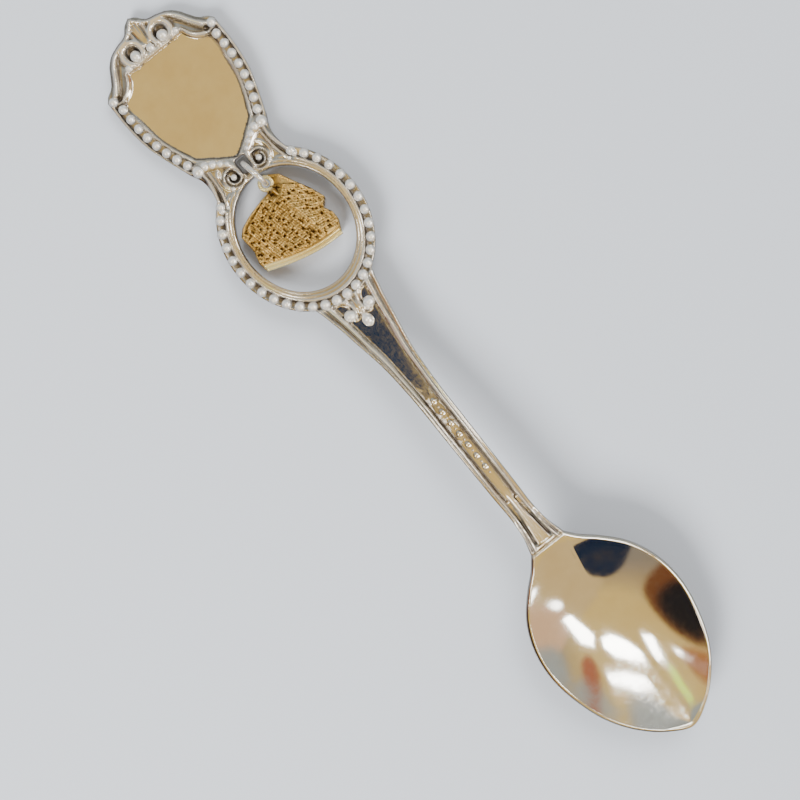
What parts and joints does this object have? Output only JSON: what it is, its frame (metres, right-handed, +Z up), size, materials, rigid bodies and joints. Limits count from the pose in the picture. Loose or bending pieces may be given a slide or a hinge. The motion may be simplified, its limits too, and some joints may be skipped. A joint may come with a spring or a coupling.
{
  "type": "souvenir spoon",
  "caption": "Small plated souvenir spoon with a shield crest, beaded oval ring, rimmed stem, pointed bowl and a hanging cast charm.",
  "frame": {"origin": "middle of the spoon's length on its centre line, on the surface that it lies on", "axes": "+Z up out of the bowl, +Y along the spoon towards the finial, +X to the right seen from above with the finial at the top"},
  "size_m": [0.0206, 0.114, 0.0079],
  "materials": {
    "spoon_plate": "polished silver plate, grey in the recesses",
    "bowl_plate": "mirror-polished silver plate with fine wiping scratches",
    "ring_wire": "bright plated wire",
    "antique_gold": "antique gold, darkened in the relief"
  },
  "bodies": {
    "spoon": {"handle": "spoon_plate", "bowl": "bowl_plate"},
    "link": {"jump_ring": "ring_wire"},
    "pendant": {"charm": "antique_gold"}
  },
  "joints": [
    {"name": "ring_swing", "type": "hinge", "parent": "spoon", "child": "link", "pos_m": [0.00027, 0.03215, 0.0022], "axis": [0.9848, 0.1736, 0], "range_deg": [-85, 45]},
    {"name": "charm_sway", "type": "hinge", "parent": "link", "child": "pendant", "pos_m": [0.00063, 0.03015, 0.00235], "axis": [0, 0, 1], "range_deg": [-2.5, 10]}
  ]
}
